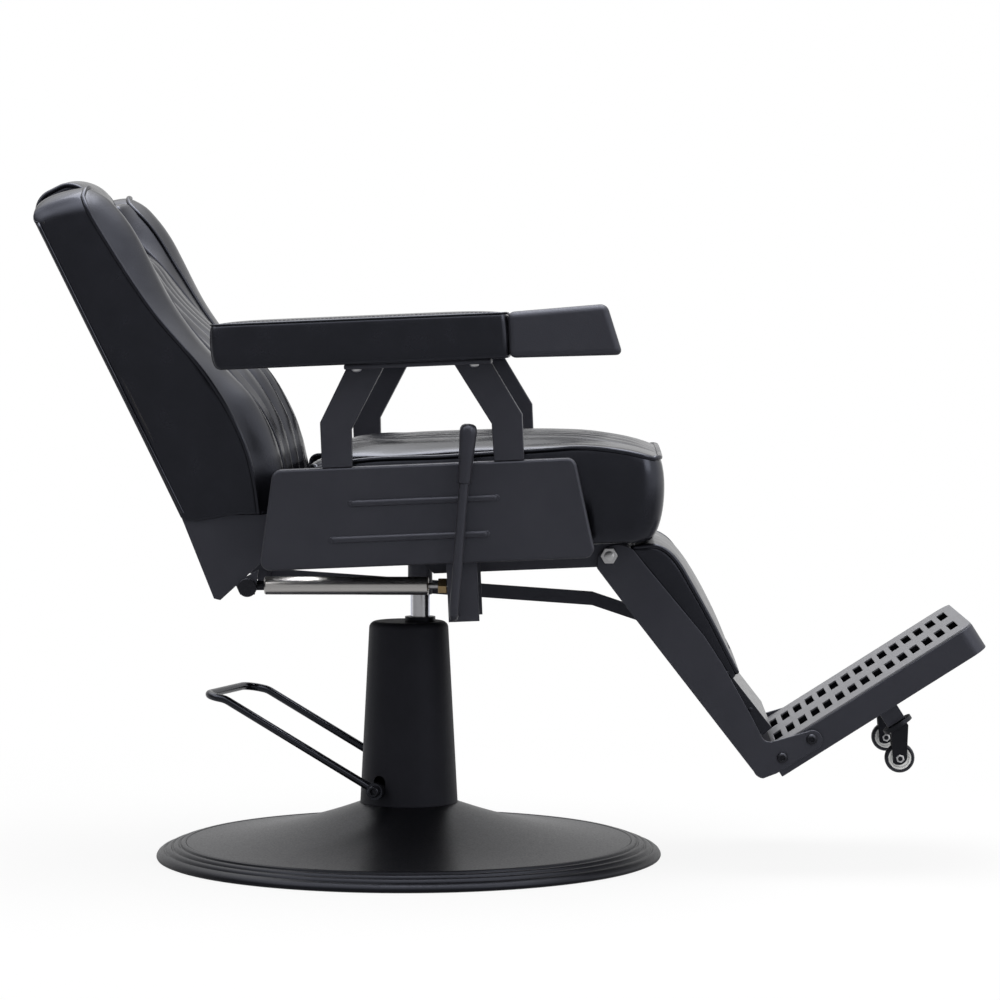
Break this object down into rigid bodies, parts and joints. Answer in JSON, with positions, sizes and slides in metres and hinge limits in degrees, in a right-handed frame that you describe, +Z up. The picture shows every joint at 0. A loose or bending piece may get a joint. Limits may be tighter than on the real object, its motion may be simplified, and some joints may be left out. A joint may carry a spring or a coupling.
{
  "type": "barber chair",
  "caption": "Reclining barber chair with padded seat, winged backrest, headrest, arm rests and linked leg and foot rest on a swivelling hydraulic column with a round base.",
  "frame": {"origin": "on the floor at the middle of the round base", "axes": "+X the way the sitter faces, +Y the sitter's left, +Z up"},
  "size_m": [1.219, 0.69, 0.8786],
  "materials": {
    "base_paint": "satin black powder coat",
    "frame_paint": "fine-textured black powder coat",
    "pump_paint": "painted steel",
    "shroud_plastic": "matt moulded",
    "grip_plastic": "matt moulded",
    "leather": "soft-gloss upholstery leather",
    "plywood": "black-stained plywood",
    "chrome": "hard chrome, polished",
    "brushed_steel": "drawn steel tube",
    "zinc_steel": "zinc plated",
    "dark_steel": "black oxide",
    "brass": "turned",
    "tread_grey": "grey powder coat",
    "caster_rubber": "moulded tyre on a white hub"
  },
  "bodies": {
    "base": {"base_plate": "base_paint", "base_rim": "base_paint", "base_cover": "base_paint", "column_shroud": "shroud_plastic", "pump_casing": "pump_paint"},
    "pedal": {"pedal_loop": "frame_paint", "pedal_shaft": "dark_steel", "pedal_bolts": "dark_steel"},
    "piston": {"piston_rod": "chrome"},
    "seat": {"swivel_hub": "frame_paint", "mount_plate": "frame_paint", "frame_rail_left": "frame_paint", "frame_rail_right": "frame_paint", "frame_cross_front": "frame_paint", "frame_cross_rear": "frame_paint", "seat_board": "plywood", "seat_cushion": "leather", "side_panel_left": "frame_paint", "side_panel_right": "frame_paint", "arm_post_front_left": "frame_paint", "arm_post_front_right": "frame_paint", "arm_post_rear_left": "frame_paint", "arm_post_rear_right": "frame_paint", "arm_pad_left": "leather", "arm_pad_right": "leather", "arm_grip_left": "grip_plastic", "arm_grip_right": "grip_plastic", "lock_bracket": "frame_paint", "back_pivot_pins": "dark_steel", "leg_pivot_bolts": "zinc_steel"},
    "lever": {"lever_rod": "frame_paint", "lever_grip": "grip_plastic"},
    "lock_rod": {"lock_rod": "zinc_steel", "lock_nut": "brass"},
    "lock_cylinder": {"lock_tube": "brushed_steel", "lock_eye": "dark_steel"},
    "backrest": {"back_bracket_left": "frame_paint", "back_bracket_right": "frame_paint", "back_cross_tube": "frame_paint", "back_board": "plywood", "back_cover": "leather", "back_cushion": "leather", "headrest_socket": "zinc_steel"},
    "headrest": {"headrest_pad": "leather", "headrest_stem": "zinc_steel"},
    "leg_link": {"leg_link": "frame_paint"},
    "legrest": {"leg_plate_left": "frame_paint", "leg_plate_right": "frame_paint", "leg_cross_tube": "frame_paint", "leg_board": "plywood", "leg_pad": "leather", "kick_plate": "frame_paint", "foot_tray": "frame_paint", "foot_base_plate": "frame_paint", "foot_tread": "tread_grey", "foot_bolts": "dark_steel"},
    "caster_fork_left": {"caster_fork_left": "grip_plastic"},
    "caster_fork_right": {"caster_fork_right": "grip_plastic"},
    "caster_wheel_left": {"caster_wheel_left": "caster_rubber"},
    "caster_wheel_right": {"caster_wheel_right": "caster_rubber"}
  },
  "joints": [
    {"name": "pedal_pump", "type": "hinge", "parent": "base", "child": "pedal", "pos_m": [-0.01812, 0.00571, 0.093], "axis": [-0.3007, -0.9537, 0], "range_deg": [0, 20], "stiffness_Nm_per_rad": 8, "springref_deg": -11.46},
    {"name": "lift", "type": "slide", "parent": "base", "child": "piston", "axis": [0, 0, 1], "range_m": [-0.02, 0.13]},
    {"name": "swivel", "type": "hinge", "parent": "piston", "child": "seat", "pos_m": [0.015, 0, 0.37], "axis": [0, 0, 1], "continuous": true},
    {"name": "recline", "type": "hinge", "parent": "seat", "child": "backrest", "pos_m": [-0.14, 0, 0.438], "axis": [0, -1, 0], "range_deg": [-12, 8]},
    {"name": "legrest_swing", "type": "hinge", "parent": "seat", "child": "legrest", "pos_m": [0.2627, 0, 0.4066], "axis": [0, -1, 0], "range_deg": [-10.5, 7]},
    {"name": "link_swing", "type": "hinge", "parent": "backrest", "child": "leg_link", "pos_m": [-0.195, 0.07, 0.366], "axis": [0, -1, 0], "range_deg": [-7, 10.5]},
    {"name": "lock_swing", "type": "hinge", "parent": "seat", "child": "lock_rod", "pos_m": [0.078, -0.2, 0.37], "axis": [0, -1, 0], "range_deg": [-3, 2.5]},
    {"name": "lock_stroke", "type": "slide", "parent": "lock_rod", "child": "lock_cylinder", "axis": [1, 0, 0], "range_m": [-0.016, 0.012]},
    {"name": "lever_pull", "type": "hinge", "parent": "seat", "child": "lever", "pos_m": [0.072, -0.318, 0.34], "axis": [0, -1, 0], "range_deg": [0, 14], "stiffness_Nm_per_rad": 3, "springref_deg": -8.59},
    {"name": "headrest_slide", "type": "slide", "parent": "backrest", "child": "headrest", "axis": [-0.4454, 0, 0.8953], "range_m": [0, 0.12]},
    {"name": "caster_swivel_left", "type": "hinge", "parent": "legrest", "child": "caster_fork_left", "pos_m": [0.62874, 0.122, 0.19187], "axis": [-0.5373, 0, 0.8434], "continuous": true},
    {"name": "caster_roll_left", "type": "hinge", "parent": "caster_fork_left", "child": "caster_wheel_left", "pos_m": [0.63331, 0.122, 0.14617], "axis": [0, 1, 0], "continuous": true},
    {"name": "caster_swivel_right", "type": "hinge", "parent": "legrest", "child": "caster_fork_right", "pos_m": [0.62874, -0.122, 0.19187], "axis": [-0.5373, 0, 0.8434], "continuous": true},
    {"name": "caster_roll_right", "type": "hinge", "parent": "caster_fork_right", "child": "caster_wheel_right", "pos_m": [0.63331, -0.122, 0.14617], "axis": [0, 1, 0], "continuous": true}
  ],
  "couplings": [
    {"joint": "legrest_swing", "follows": "recline", "ratio": 0.8},
    {"joint": "link_swing", "follows": "recline", "ratio": -0.785},
    {"joint": "lock_swing", "follows": "recline", "ratio": 0.19},
    {"joint": "lock_stroke", "follows": "recline", "m_per_rad": 0.0675}
  ]
}
